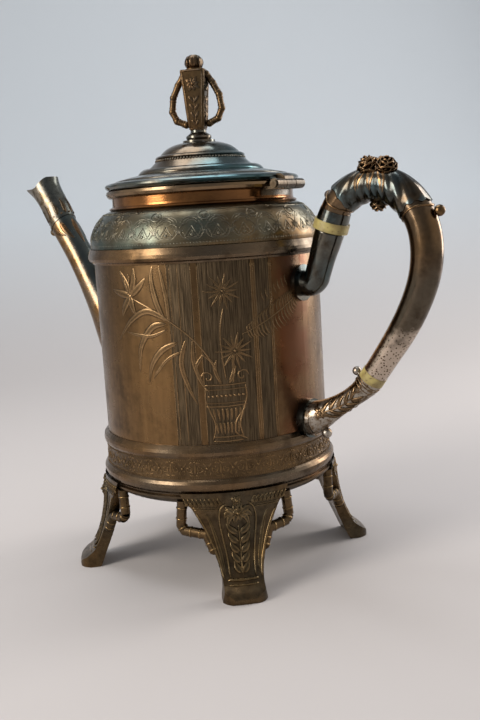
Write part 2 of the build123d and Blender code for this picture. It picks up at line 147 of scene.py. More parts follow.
world = bpy.data.worlds.new("room")
bpy.context.scene.world = world
world.use_nodes = True
room = world.node_tree
room.nodes.clear()
path = wire(room, "ShaderNodeLightPath").outputs
seen = reckon(room, "MAXIMUM", path["Is Camera Ray"], path["Is Transmission Ray"])
sideways = to_model.to_3x3() @ view_x
toward = wire(room, "ShaderNodeVectorMath", {"operation": "DOT_PRODUCT"}, _0=here(room, "Generated"),
              _1=sideways).outputs["Value"]
walls = mixed(room, ramped(room, reckon(room, "ABSOLUTE", toward), 0.25, 0.85), (0.26, 0.27, 0.29), (0.62, 0.60, 0.57))
air = mixed(room, seen, walls, (0.55, 0.60, 0.66))
glow = wire(room, "ShaderNodeBackground", Color=air, Strength=1.0)
wire(room, "ShaderNodeOutputWorld", Surface=glow.outputs[0])

SWEEP = [(-1.4, 0.0), (0.45, 0.0), (0.62, 0.015), (0.76, 0.06), (0.87, 0.14), (0.93, 0.26), (0.95, 0.45), (0.95, 1.7)]
verts, faces = [], []
for depth, height in SWEEP:
    for side in (-1.8, 1.8):
        verts.append(to_model @ Vector((side, depth, height)))
for i in range(len(SWEEP) - 1):
    faces.append((2 * i, 2 * i + 1, 2 * i + 3, 2 * i + 2))
sheet = bpy.data.meshes.new("backdrop")
sheet.from_pydata(verts, [], faces)
sheet.polygons.foreach_set("use_smooth", [True] * len(faces))
backdrop = show("backdrop", sheet)
soften = backdrop.modifiers.new("soften", "SUBSURF")
soften.levels = soften.render_levels = 3
paper, tree, shader = blank("backdrop_paper")
height = wire(tree, "ShaderNodeSeparateXYZ", _0=here(tree)).outputs[2]
tone = mixed(tree, ramped(tree, height, 0.0, 0.20), (0.52, 0.485, 0.475), (0.57, 0.62, 0.67))
tree.links.new(tone, shader.inputs["Base Color"])
shader.inputs["Roughness"].default_value = 0.9
sheet.materials.append(paper)


# Base: a shallow dished bottom with a stepped rim, spun from plated sheet. Like the rest of the pot it
# is silver plate that has tarnished to brown and gold, darker in the hollows.
def plated(name, face, second, dark, rough, patch=16.0, grain=(1, 1, 1), scratch=0.06, relief=False, pits=0.0):
    """Tarnished plate: two tones in patches, dark blotches that are partly tarnish and partly a painted dark
    reflection of the room, fine scratches and, on cast work, dark hollows and crests brightened as rubbed wear with a
    painted highlight.
    """
    finish, tree, shader = blank(name)
    shader.inputs["Metallic"].default_value = 1.0
    place = here(tree)
    patches = noise(tree, place, patch, 3.0)
    blotch = noise(tree, place, patch * 5.5, 5.0, Roughness=0.62)
    speck = noise(tree, place, 1500.0, 2.0)
    colour = mixed(tree, ramped(tree, patches, 0.40, 0.60), face, second)
    # Painted dark reflection: the blotches darken the plate partly as tarnish and partly as the room's dark
    # reflection.
    colour = mixed(tree, ramped(tree, blotch, 0.50, 0.72, 0.0, 0.75), colour, dark)
    lines = wire(tree, "ShaderNodeMapping", Vector=place, Scale=grain).outputs[0]
    brushed = noise(tree, lines, 420.0, 3.0)
    colour = mixed(tree, ramped(tree, brushed, 0.35, 0.75, 0.0, 0.35), colour, dark)
    depth = mixed(tree, 0.5, brushed, speck)
    if pits:
        spots = wire(tree, "ShaderNodeTexVoronoi", Vector=place, Scale=760.0).outputs["Distance"]
        worn = ramped(tree, blotch, 0.42, 0.55, 0.0, pits)
        colour = mixed(tree, worn, colour, (0.62, 0.57, 0.50))
        hole = reckon(tree, "MULTIPLY", ramped(tree, spots, 0.34, 0.20), worn)
        colour = mixed(tree, hole, colour, (0.05, 0.03, 0.02))
        depth = mixed(tree, hole, depth, (0, 0, 0))
    if relief:
        ridge = wire(tree, "ShaderNodeAttribute", {"attribute_name": "ridge"}).outputs["Fac"]
        hollow, crest_wear_and_highlight = [part * 0.35 for part in dark], [min(part * 1.8, 1) for part in face]
        colour = mixed(tree, ramped(tree, ridge, 0.0, 0.55, 1.0, 0.0), colour, hollow)
        # Crests brightened: partly rubbed wear, partly a painted highlight.
        colour = mixed(tree, ramped(tree, ridge, 0.75, 1.0, 0.0, 0.55), colour, crest_wear_and_highlight)
    tree.links.new(colour, shader.inputs["Base Color"])
    tree.links.new(ramped(tree, blotch, 0.35, 0.70, rough[0], rough[1]), shader.inputs["Roughness"])
    bump = wire(tree, "ShaderNodeBump", Strength=scratch, Distance=0.0004, Height=depth)
    tree.links.new(bump.outputs[0], shader.inputs["Normal"])
    return finish


def dress(finish, *names):
    """Gives CAD nodes a finish in place of their plain one."""
    for name in names:
        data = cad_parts[name].data
        data.materials.clear()
        data.materials.append(finish)


# The second colour is the dark tone of tarnish and of the painted dark reflections in the blotches.
BRONZE, DARK_TARNISH_AND_REFLECTION = (0.185, 0.108, 0.050), (0.032, 0.020, 0.011)
moulding_plate = plated("moulding_plate", BRONZE, (0.15, 0.115, 0.08), DARK_TARNISH_AND_REFLECTION, (0.20, 0.38), grain=(1, 1, 9))
base_plate = plated("base_plate", (0.13, 0.082, 0.042), (0.10, 0.075, 0.05), DARK_TARNISH_AND_REFLECTION, (0.28, 0.46), grain=(1, 1, 6))
dress(base_plate, "base_dish")
dress(moulding_plate, "foot_rim_moulding", "upper_band_moulding", "girdle_moulding")


# Body wall: a plain spun cylinder. Its face is engraved on both sides with a lily, blade leaves, a
# planted urn, two star flowers and a fern, over upright bands of matted grain between ruled lines.
WALL_R, WALL_FOOT, WALL_HEAD = 59.0, 75.0, 162.4
FRONT = radians(-51)


def smooth_path(points, steps):
    """Points evenly placed on a smooth curve through the given ones."""
    ends = [tuple(2 * p - q for p, q in zip(points[0], points[1]))]
    ends += list(points) + [tuple(2 * p - q for p, q in zip(points[-1], points[-2]))]
    curve = []
    for i in range(steps + 1):
        place = i / steps * (len(points) - 1)
        k = min(int(place), len(points) - 2)
        t = place - k
        weights = (-t + 2 * t * t - t ** 3, 2 - 5 * t * t + 3 * t ** 3, t + 4 * t * t - 3 * t ** 3, t ** 3 - t * t)
        curve.append(tuple(sum(w * p[axis] for w, p in zip(weights, ends[k:k + 4])) / 2
                           for axis in range(len(points[0]))))
    return curve


def swung(turn, out, up, aside=0.0):
    """Point at a distance from the pot's axis, in a direction turned about it."""
    return Vector((out * cos(turn) - aside * sin(turn), out * sin(turn) + aside * cos(turn), up))


def on_wall(a, b, lift):
    """Point a mm round the wall from its front line, b mm up, lift mm proud of it."""
    return swung(FRONT + a / WALL_R, WALL_R + lift, b)


def compass(count):
    """Cosine and sine of evenly spaced turns."""
    return [(cos(2 * pi * k / count), sin(2 * pi * k / count)) for k in range(count)]


LEAF = ((-1, -1), (-1, 0.1), (-0.55, 1), (0, 0.3), (0.55, 1), (1, 0.1), (1, -1))
CORD = ((-1, -1), (-0.8, 0.5), (0, 1), (0.8, 0.5), (1, -1))


class Relief:
    """Closed strips, beads and rings that stand a little proud of a surface, gathered into one mesh.

    Each point's ridge runs from 0 in a hollow to 1 on a crest; the finish darkens by it in hollows as tarnish and
    brightens by it on crests as rubbed wear with a painted highlight.
    """

    def __init__(self, surface):
        self.surface, self.verts, self.faces, self.ridge = surface, [], [], []
        self.side = 1  # -1 mirrors what is drawn

    def loft(self, rows, ridges):
        start, count = len(self.verts), len(rows[0])
        for row, heights in zip(rows, ridges):
            self.verts += row
            self.ridge += heights
        for i in range(len(rows) - 1):
            for j in range(count):
                k, low = (j + 1) % count, start + i * count
                self.faces.append((low + j, low + k, low + count + k, low + count + j))
        self.faces.append(tuple(range(start + count - 1, start - 1, -1)))
        last = start + (len(rows) - 1) * count
        self.faces.append(tuple(range(last, last + count)))

    def strip(self, points, width, crown=0.22, section=LEAF, steps=14, blunt=False, sink=0.3):
        """Leaf, petal or line along a path, widest a third of the way up unless it is blunt."""
        line = smooth_path([(self.side * a, b) for a, b in points], steps)
        rows, ridges = [], []
        for i, (a, b) in enumerate(line):
            before, after = line[max(i - 1, 0)], line[min(i + 1, steps)]
            along = (after[0] - before[0], after[1] - before[1])
            length = hypot(*along) or 1.0
            across = (-along[1] / length, along[0] / length)
            t = i / steps
            swell = min(1.0, 0.35 + 9 * t, 0.35 + 9 * (1 - t)) if blunt else 0.08 + 0.92 * sin(pi * t ** 0.7) ** 0.8
            row, heights = [], []
            for offset, height in section:
                reach = offset * width * swell / 2
                lift = -sink if height < 0 else crown * height * (1 if blunt else min(1, swell + 0.25))
                row.append(self.surface(a + across[0] * reach, b + across[1] * reach, lift))
                heights.append(max(height, 0.0))
            rows.append(row)
            ridges.append(heights)
        self.loft(rows, ridges)

    def line(self, points, width, crown=0.22, steps=14, sink=0.3):
        """Cord of one width along a path."""
        self.strip(points, width, crown, CORD, steps, True, sink)

    def bead(self, a, b, size, crown=0.3, sides=8, sink=0.2):
        """Round bead."""
        rows, ridges = [], []
        for reach, lift, height in ((1, -sink, 0), (1, 0.15 * crown, 0.3), (0.7, 0.8 * crown, 0.8), (0.25, crown, 1)):
            rows.append([self.surface(self.side * a + size * reach * c, b + size * reach * s, lift)
                         for c, s in compass(sides)])
            ridges.append([height] * sides)
        self.loft(rows, ridges)

    def bloom(self, a, b, reach, petals, width, crown=0.25, tilt=0.0):
        """Star of narrow petals round a bead."""
        for k in range(petals):
            turn = tilt + 2 * pi * k / petals
            far = reach * (1.0 if k % 2 else 0.82)
            self.strip([(a + far * f * cos(turn), b + far * f * sin(turn)) for f in (0.12, 0.5, 1.0)],
                       width, crown, steps=8)
        self.bead(a, b, width * 0.55, crown * 1.4)

    def finish(self, name, finish, body, slot, *stands_for, copies=1):
        """Makes the piece, repeats it about the pot's axis and hands it to the frame."""
        mesh = bpy.data.meshes.new(name)
        mesh.from_pydata([vert * MM for vert in self.verts], [], self.faces)
        mesh.polygons.foreach_set("use_smooth", [True] * len(self.faces))
        layer = mesh.attributes.new("ridge", "FLOAT", "POINT")
        layer.data.foreach_set("value", self.ridge)
        mesh.materials.append(finish)
        tidy_faces(mesh)
        item = show(name, mesh)
        if copies > 1:
            copies_round(item, finish, copies)
        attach(item, body)
        if stands_for:
            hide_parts(*stands_for)


def tidy_faces(mesh):
    """Turns every closed part's faces outwards."""
    shell = bmesh.new()
    shell.from_mesh(mesh)
    bmesh.ops.recalc_face_normals(shell, faces=shell.faces)
    shell.to_mesh(mesh)
    shell.free()


def copies_round(item, finish, count):
    """Geometry Nodes: the piece repeated about the pot's axis, then made plain mesh."""
    tree = bpy.data.node_groups.new(item.name + "_round", "GeometryNodeTree")
    for label, kind in (("Motif", "Geometry"), ("Copies", "Int"), ("Step", "Float")):
        tree.interface.new_socket(label, in_out="INPUT", socket_type="NodeSocket" + kind)
    tree.interface.new_socket("Geometry", in_out="OUTPUT", socket_type="NodeSocketGeometry")
    given = tree.nodes.new("NodeGroupInput").outputs
    points = wire(tree, "GeometryNodeMeshLine", Count=given["Copies"], Offset=(0, 0, 0)).outputs[0]
    turn = reckon(tree, "MULTIPLY", wire(tree, "GeometryNodeInputIndex").outputs[0], given["Step"])
    spin = wire(tree, "FunctionNodeEulerToRotation",
                _0=wire(tree, "ShaderNodeCombineXYZ", Z=turn).outputs[0]).outputs[0]
    placed = wire(tree, "GeometryNodeInstanceOnPoints", Points=points, Instance=given["Motif"], Rotation=spin)
    real = wire(tree, "GeometryNodeRealizeInstances", _0=placed.outputs[0])
    painted = wire(tree, "GeometryNodeSetMaterial", Geometry=real.outputs[0])
    painted.inputs["Material"].default_value = finish
    wire(tree, "NodeGroupOutput", Geometry=painted.outputs[0])
    change = item.modifiers.new("round", "NODES")
    change.node_group = tree
    for socket in tree.interface.items_tree:
        if socket.in_out == "INPUT" and socket.name != "Motif":
            change[socket.identifier] = count if socket.name == "Copies" else 2 * pi / count
    graph = bpy.context.evaluated_depsgraph_get()
    whole = bpy.data.meshes.new_from_object(item.evaluated_get(graph), preserve_all_data_layers=True, depsgraph=graph)
    item.modifiers.remove(change)
    item.data = whole


wall_plate = plated("wall_plate", (0.205, 0.118, 0.050), (0.155, 0.095, 0.048), DARK_TARNISH_AND_REFLECTION, (0.22, 0.40), patch=11.0,
                    grain=(1, 1, 0.08), scratch=0.10)
tree, shader = inside(wall_plate)
place = wire(tree, "ShaderNodeSeparateXYZ", _0=here(tree)).outputs
shifted = reckon(tree, "SUBTRACT", reckon(tree, "ARCTAN2", place[1], place[0]), FRONT)
across = reckon(tree, "MULTIPLY", reckon(tree, "WRAP", shifted, pi / 2, -pi / 2), WALL_R)


def between(low, high, soft=0.4):
    """1 inside a band of the wall measured round it in mm, 0 outside."""
    return reckon(tree, "MULTIPLY", ramped(tree, across, low - soft, low + soft),
                  ramped(tree, across, high + soft, high - soft))


grain_place = wire(tree, "ShaderNodeCombineXYZ", X=across, Y=0.0, Z=reckon(tree, "MULTIPLY", place[2], 28.0))
streak = noise(tree, grain_place.outputs[0], 1.9, 4.0, Roughness=0.7, Distortion=0.4)
matted = reckon(tree, "MAXIMUM", between(-20.0, -8.2), between(-5.2, 20.5))
matted = reckon(tree, "MAXIMUM", matted, between(22.6, 30.2))
plain_colour = carried(shader, "Base Color")
# On the wall's right side, 33 to 78 mm round from the front, patches of copper and of pale silver: partly worn plate,
# partly a painted pinkish reflection of the right-hand lamp.
wear_and_sheen_noise = noise(tree, here(tree), 34.0, 4.0)
copper_and_painted_reflection = reckon(tree, "MULTIPLY", between(33.0, 58.0, 3.0), ramped(tree, wear_and_sheen_noise, 0.34, 0.52))
plain_colour = mixed(tree, copper_and_painted_reflection, plain_colour, (0.115, 0.048, 0.022))
silver_and_painted_highlight = reckon(tree, "MULTIPLY", between(46.0, 78.0, 4.0), ramped(tree, wear_and_sheen_noise, 0.58, 0.66, 0.0, 0.6))
plain_colour = mixed(tree, silver_and_painted_highlight, plain_colour, (0.42, 0.33, 0.22))
dull = mixed(tree, ramped(tree, streak, 0.38, 0.62), (0.036, 0.026, 0.016), (0.155, 0.108, 0.062))
tree.links.new(mixed(tree, matted, plain_colour, dull), shader.inputs["Base Color"])
tree.links.new(mixed(tree, matted, carried(shader, "Roughness"), (0.46, 0.46, 0.46)), shader.inputs["Roughness"])
ribbed = wire(tree, "ShaderNodeBump", Strength=0.55, Distance=0.0005,
              Height=reckon(tree, "MULTIPLY", streak, matted), Normal=carried(shader, "Normal"))
tree.links.new(ribbed.outputs[0], shader.inputs["Normal"])
dress(wall_plate, "body_wall")

cut_plate = plated("cut_plate", (0.25, 0.155, 0.075), (0.19, 0.125, 0.065), DARK_TARNISH_AND_REFLECTION, (0.22, 0.36), relief=True)
engraving = Relief(on_wall)
LILY, URN = (-41.5, 147.6), 5.0
for tip in ((-48.1, 160.4), (-38.1, 161.6), (-31.4, 156.4), (-54.2, 150.6), (-47.9, 137.9), (-38.6, 138.6)):
    middle = ((tip[0] + LILY[0]) / 2 + 0.9 * (tip[1] - LILY[1]) / 12, (tip[1] + LILY[1]) / 2)
    engraving.strip([LILY, middle, tip], 4.2, 0.30)
for tip in ((-45.2, 157.0), (-41.6, 158.0), (-37.0, 156.0)):
    engraving.strip([LILY, tip], 0.7, 0.40, CORD, steps=6)
    engraving.bead(*tip, 0.65, 0.5)
engraving.bead(*LILY, 1.2, 0.5)
engraving.line([(-41.0, 146.9), (-29.9, 141.6), (-19.8, 135.2), (-10.5, 127.7), (-3.8, 119.7), (1.3, 110.2)],
               1.1, 0.30, steps=26)
BLADES = [
    ([(-20.0, 135.6), (-31.3, 140.4), (-41.3, 136.2), (-52.0, 126.0)], 3.6),
    ([(-22.0, 134.4), (-29.7, 132.5), (-36.8, 123.0), (-38.6, 110.4)], 3.8),
    ([(-16.6, 125.4), (-25.1, 121.4), (-30.9, 114.4), (-33.4, 105.4)], 3.4),
    ([(-21.8, 131.4), (-30.4, 128.4), (-40.0, 129.2), (-45.6, 130.4)], 2.0),
    ([(-14.8, 121.0), (-22.6, 117.0), (-28.6, 110.6), (-30.6, 107.4)], 1.8),
    ([(-22.4, 135.4), (-26.4, 145.0), (-28.2, 155.0), (-27.2, 162.0)], 3.4),
    ([(-20.4, 134.4), (-20.9, 145.7), (-22.6, 156.0), (-23.6, 162.2)], 2.6),
    ([(-12.4, 127.0), (-15.6, 115.4), (-13.1, 104.6), (-8.9, 94.7)], 3.0),
    ([(-9.4, 126.4), (-9.6, 116.0), (-6.6, 106.0), (-3.0, 100.5)], 2.4),
    ([(-4.4, 119.4), (-8.4, 113.4), (-8.6, 108.4)], 1.8),
    ([(1.3, 110.2), (-1.6, 116.0), (-5.6, 119.0)], 1.6)]
for points, width in BLADES:
    engraving.strip(points, width, 0.26, steps=20)
for a, b, reach in ((6.1, 148.6, 9.2), (10.5, 119.8, 9.6)):
    engraving.bloom(a, b, reach, 14, 1.35, 0.30)
engraving.line([(10.5, 112.6), (9.4, 108.4), (8.8, 104.6)], 0.8, 0.25)
engraving.line([(6.1, 141.0), (4.0, 130.0), (4.2, 118.0), (5.4, 106.0)], 0.8, 0.25, steps=20)
for side in (-1, 1):
    curl = [(URN + side * (8.4 + (3.4 - 0.42 * k) * cos(0.9 * k)), 107.6 + (3.4 - 0.42 * k) * sin(0.9 * k))
            for k in range(8)]
    engraving.line(curl, 0.9, 0.34, steps=24)
    engraving.strip([(URN + side * 2.0, 104.2), (URN + side * 4.6, 111.0), (URN + side * 3.4, 116.6)], 2.0)
    engraving.line([(URN + side * 9.6, 103.4), (URN + side * 10.0, 97.0), (URN + side * 8.0, 90.6),
                    (URN + side * 6.0, 84.0), (URN + side * 7.6, 76.6)], 0.9, 0.30, steps=20)
for height, width in ((104.0, 1.0), (101.8, 0.6), (95.2, 0.6), (93.6, 1.0), (78.6, 0.9), (76.4, 1.2)):
    reach = 10.0 if height > 90 else 7.2
    engraving.line([(URN - reach, height), (URN, height - 0.3), (URN + reach, height)], width, 0.30)
for k in range(9):
    engraving.bead(-3.4 + 2.1 * k, 98.4, 0.72, 0.45)
for k in range(7):
    engraving.strip([(-1.6 + 2.2 * k, 92.6), (-1.2 + 2.1 * k, 89.6), (-0.6 + 1.9 * k, 86.4)], 1.3, 0.22, steps=8)
    engraving.strip([(-0.4 + 1.8 * k, 85.6), (-0.2 + 1.75 * k, 82.6), (0.2 + 1.6 * k, 79.6)], 1.1, 0.22, steps=8)
stem = smooth_path([(14.6, 127.4), (25.1, 131.6), (39.2, 138.6), (50.0, 145.0)], 22)
engraving.line(stem[::3], 0.7, 0.28, steps=24)
for k, (a, b) in enumerate(stem[2:-1]):
    reach = 6.4 * sin(pi * (k + 3) / 25) + 1.0
    for side, lean in ((1, 0.25), (-1, 0.55)):
        engraving.strip([(a, b), (a - reach * lean * 0.3 * side, b + side * reach * 0.55),
                         (a + reach * lean, b + side * reach)], 0.85, 0.24, steps=7)
for k in range(7):
    a, b = 27.0 + 2.4 * k, 141.8 + 1.1 * k
    engraving.strip([(a, b), (a - 1.4, b + 3.0), (a - 1.6, b + 5.6)], 0.8, 0.22, steps=6)
engraving.line([(14.4, 92.6), (9.4, 86.0), (8.8, 80.0), (14.6, 76.4)], 0.9, 0.26, steps=18)
for a in (-20.0, -18.6, -14.6, -8.2, -5.2, 20.5, 21.6, 22.6, 30.2, 31.2):
    engraving.line([(a, WALL_FOOT), (a, 105.0), (a, 135.0), (a, WALL_HEAD)], 0.55, 0.16, steps=24)
engraving.finish("wall_engraving", cut_plate, "pot", "body_metal", copies=2)


# Lower band: a rolled strip between the two foot mouldings, chased all round with paired scrolls,
# leaves and a fringe of short strokes.
BAND_PROFILE = [(60.42, 57.9), (60.2, 60.0), (60.04, 62.6), (60.02, 65.0), (60.2, 67.4), (60.34, 68.5)]


def walk(points, steps):
    """A smooth curve, its length, and a way to find the stretch of it that lies b mm along."""
    fine = smooth_path(points, steps)
    far = [0.0]
    for one, two in zip(fine, fine[1:]):
        far.append(far[-1] + hypot(two[0] - one[0], two[1] - one[1]))

    def stretch(b):
        k = 0
        while k < len(far) - 2 and far[k + 1] < b:
            k += 1
        return fine[k], fine[k + 1], (b - far[k]) / (far[k + 1] - far[k])
    return fine, far[-1], stretch


def on_turned(profile):
    """Surface of a turned part: a mm round its largest radius, b mm along its profile from the foot of it."""
    fine, _, stretch = walk(profile, 80)
    widest = max(r for r, z in fine)

    def surface(a, b, lift):
        (r0, z0), (r1, z1), t = stretch(b)
        length = hypot(r1 - r0, z1 - z0)
        r = r0 + (r1 - r0) * t + lift * (z1 - z0) / length
        z = z0 + (z1 - z0) * t - lift * (r1 - r0) / length
        return swung(FRONT + a / widest, r, z)
    return surface


chased_plate = plated("chased_plate", (0.165, 0.105, 0.052), (0.21, 0.125, 0.055), DARK_TARNISH_AND_REFLECTION, (0.26, 0.42), relief=True)
band_plate = plated("band_plate", (0.105, 0.068, 0.036), (0.15, 0.095, 0.048), DARK_TARNISH_AND_REFLECTION, (0.32, 0.50), grain=(1, 1, 5),
                    scratch=0.2)
dress(band_plate, "lower_band")
chasing = Relief(on_turned(BAND_PROFILE))
for chasing.side in (-1, 1):
    scroll = [(3.1 + (2.1 - 0.3 * k) * cos(0.95 * k + 2.6), 5.2 + (2.1 - 0.3 * k) * sin(0.95 * k + 2.6))
              for k in range(7)]
    chasing.line(scroll, 0.6, 0.28, steps=18)
    chasing.strip([(0.3, 2.2), (1.5, 1.9), (2.7, 2.5)], 1.0, 0.26, steps=7)
    chasing.strip([(0.3, 8.0), (1.6, 8.5), (3.0, 7.9)], 1.0, 0.26, steps=7)
    chasing.strip([(5.6, 2.0), (4.9, 3.2), (5.6, 4.6)], 0.8, 0.24, steps=6)
chasing.strip([(0, 3.0), (0.2, 5.0), (0, 7.6)], 1.5, 0.32, steps=8)
for chasing.side in (-1, 1):
    for k in range(3):
        for start, end in (((0.9 + 0.5 * k, 3.1 + 1.5 * k), (1.9 + 0.5 * k, 3.6 + 1.5 * k)),
                           ((4.2 + 0.5 * k, 8.2 - 0.5 * k), (5.2 + 0.3 * k, 7.2 - 0.7 * k))):
            chasing.strip([start, end], 0.7, 0.22, steps=5)
chasing.bead(6.2, 5.4, 0.75, 0.4)
chasing.bead(0, 8.9, 0.5, 0.3)
for k in range(12):
    for low, high in ((0.5, 1.3), (9.5, 10.2)):
        chasing.line([(-5.75 + 1.05 * k, low), (-5.75 + 1.05 * k, high)], 0.45, 0.22, steps=2)
chasing.finish("lower_band_chasing", chased_plate, "pot", "trim_metal", copies=30)


# Shoulder: domed sheet above the girdle, chased with a bead line, hanging arcs, tented triangles with
# small fans between them, and a ring of roundels under the neck.
SHOULDER = [(60.0, 171.2), (60.05, 173.4), (59.6, 176.5), (57.7, 181.1), (55.0, 185.1), (51.8, 187.7), (48.0, 189.05)]
shoulder_plate = plated("shoulder_plate", (0.088, 0.132, 0.118), (0.205, 0.122, 0.050), DARK_TARNISH_AND_REFLECTION, (0.24, 0.42),
                        grain=(1, 1, 12), scratch=0.12)
dress(shoulder_plate, "shoulder")
shoulder_cut = plated("shoulder_cut", (0.135, 0.145, 0.122), (0.195, 0.130, 0.066), DARK_TARNISH_AND_REFLECTION, (0.22, 0.38), relief=True)
domed = Relief(on_turned(SHOULDER))
HALF_SPAN = pi * 60.05 / 30
for mid in (-HALF_SPAN, HALF_SPAN):
    for reach, width in ((HALF_SPAN - 0.5, 0.75), (HALF_SPAN - 2.0, 0.5)):
        arc = [(mid - reach * cos(pi * i / 8), 6.6 - reach * 0.80 * sin(pi * i / 8)) for i in range(9)]
        domed.line(arc, width, 0.24, steps=16)
    for side in (-1, 1):
        domed.line([(mid + side * 3.5, 3.6), (mid + side * 1.6, 6.2), (mid, 9.0)], 0.6, 0.24)
        domed.line([(mid + side * 2.0, 3.4), (mid + side * 0.9, 5.0), (mid, 7.0)], 0.45, 0.22, steps=8)
        domed.strip([(mid + side * 5.9, 7.6), (mid + side * 4.3, 9.6), (mid + side * 1.6, 10.2)], 0.8, 0.24)
    domed.line([(mid - 3.3, 3.2), (mid, 2.6), (mid + 3.3, 3.2)], 0.6, 0.24, steps=8)
    domed.bead(mid, 4.4, 0.8, 0.4)
    for lean in (-1.0, -0.5, 0.0, 0.5, 1.0):
        edge = mid + HALF_SPAN
        domed.strip([(edge + 0.3 * lean, 4.6), (edge + 1.4 * lean, 6.4), (edge + 2.6 * lean, 8.2 - 0.5 * abs(lean))],
                    0.75, 0.26, steps=6)
for mid in (-HALF_SPAN, HALF_SPAN):
    for reach, width in ((HALF_SPAN * 0.86, 0.5), (HALF_SPAN * 0.62, 0.45), (HALF_SPAN * 0.38, 0.45)):
        arc = [(mid - reach * cos(pi * i / 8), 10.4 + reach * 0.62 * sin(pi * i / 8)) for i in range(9)]
        domed.line(arc, width, 0.20)
for a in [(k - 13.5) * HALF_SPAN / 7 for k in range(28)]:
    domed.line([(a, 17.9), (a, 19.4)], 0.4, 0.16, steps=2)
for k in range(16):
    domed.bead((k - 7.5) * HALF_SPAN / 4, 0.75, 0.46, 0.32, sides=6)
for side in (-1, 1):
    domed.line([(side * (HALF_SPAN - 3.4), 11.4), (side * HALF_SPAN, 13.6), (side * (HALF_SPAN + 3.6), 11.2)],
               0.6, 0.24)
ring = [(2.9 * cos(pi * i / 6), 14.3 + 2.5 * sin(pi * i / 6)) for i in range(13)]
domed.line(ring, 0.7, 0.34, steps=26)
domed.bloom(0, 14.3, 1.9, 8, 0.75, 0.24)
domed.line([(k * HALF_SPAN, 17.6) for k in (-2, -1, 0, 1, 2)], 0.4, 0.16, steps=20)
domed.finish("shoulder_chasing", shoulder_cut, "pot", "body_metal", copies=15)


# Neck and rim: a short polished collar soldered into the shoulder, with a rolled rim. Rubbing by the
# lid has kept it bright and coppery.
neck_plate = plated("neck_plate", (0.36, 0.155, 0.048), (0.13, 0.060, 0.028), (0.09, 0.038, 0.016), (0.12, 0.26),
                    grain=(1, 1, 8))
rim_plate = plated("rim_plate", (0.30, 0.185, 0.09), (0.19, 0.14, 0.095), DARK_TARNISH_AND_REFLECTION, (0.16, 0.32), grain=(1, 1, 10))
dress(neck_plate, "neck_collar")
dress(rim_plate, "rim_moulding")


# Lid: a spun cover with a flat flange, a raised step and a low dome. Its tarnish is cooler and greyer
# than the body's. Two fine raised lines run round the flange and a beaded ring sits on the step.
TEAL_GREY, LID_BROWN = (0.085, 0.160, 0.175), (0.160, 0.118, 0.080)
lid_plate = plated("lid_plate", TEAL_GREY, LID_BROWN, DARK_TARNISH_AND_REFLECTION, (0.14, 0.30), patch=22.0, grain=(1, 1, 14), scratch=0.05)
lid_trim = plated("lid_trim", (0.18, 0.18, 0.155), LID_BROWN, DARK_TARNISH_AND_REFLECTION, (0.20, 0.34), patch=22.0, relief=True)
dress(lid_plate, "lid_dome", "lid_step_moulding", "finial_collar")
inner_plate = plated("inner_plate", (0.33, 0.25, 0.17), (0.22, 0.17, 0.12), DARK_TARNISH_AND_REFLECTION, (0.26, 0.42))
dress(inner_plate, "lid_bezel", "finial_nut", "finial_screw")


def turned_ring(profile, sides=144):
    """Closed ring turned about the pot's axis from a closed (radius, height) profile."""
    made, count = Relief(None), len(profile)
    for radius, height in profile:
        made.verts += [Vector((radius * c, radius * s, height)) for c, s in compass(sides)]
    made.ridge = [0.7] * len(made.verts)
    for i in range(count):
        for j in range(sides):
            k, low, high = (j + 1) % sides, i * sides, (i + 1) % count * sides
            made.faces.append((low + j, low + k, high + k, high + j))
    return made


for name, radius, height in (("lid_line_outer", 44.6, 203.48), ("lid_line_inner", 42.8, 203.96)):
    line = turned_ring([(radius - 0.45, height - 0.2), (radius - 0.25, height + 0.28), (radius + 0.15, height + 0.24),
                        (radius + 0.4, height - 0.3)])
    line.finish(name, lid_trim, "lid", "lid_metal")
lower_step = turned_ring([(28.4, 208.0), (29.0, 208.9), (30.2, 209.0), (31.6, 208.2), (32.6, 207.1), (33.0, 206.0),
                          (30.0, 207.0)])
lower_step.finish("lid_lower_step", lid_plate, "lid", "lid_metal")
step_beads = Relief(on_turned([(24.2, 211.8), (22.9, 213.4), (21.9, 214.6)]))
step_beads.bead(0, 1.7, 0.62, 0.5)
step_beads.finish("lid_step_beads", lid_trim, "lid", "lid_metal", copies=90)


# Finial: a cast square vase on a turned collar, held by a screw and nut from inside the lid. Each face
# carries a flower over leaves, two bamboo twigs make its handles and a bud closes its mouth.
FINIAL_TURN = radians(25)
VASE = [(227.9, 3.6), (232.5, 4.4), (239.5, 4.9), (246.5, 5.3), (254.0, 5.9), (257.9, 6.2)]
cast_plate = plated("cast_plate", (0.150, 0.088, 0.040), (0.105, 0.070, 0.036), DARK_TARNISH_AND_REFLECTION, (0.24, 0.42), patch=40.0,
                    scratch=0.12)
cast_relief = plated("cast_relief", (0.140, 0.078, 0.036), (0.085, 0.078, 0.060), DARK_TARNISH_AND_REFLECTION, (0.22, 0.40), patch=40.0,
                     relief=True)
dress(cast_plate, "finial_vase", "finial_handles", "finial_bud")


def profile_at(profile, b):
    """Half width of a tapered part at height b."""
    for (z0, w0), (z1, w1) in zip(profile, profile[1:]):
        if b <= z1 or (z1, w1) == profile[-1]:
            return w0 + (w1 - w0) * (b - z0) / (z1 - z0)


def on_vase(a, b, lift):
    """Point on the vase's first face, a mm across and b mm up."""
    return swung(FINIAL_TURN, profile_at(VASE, b) + lift, b, a)


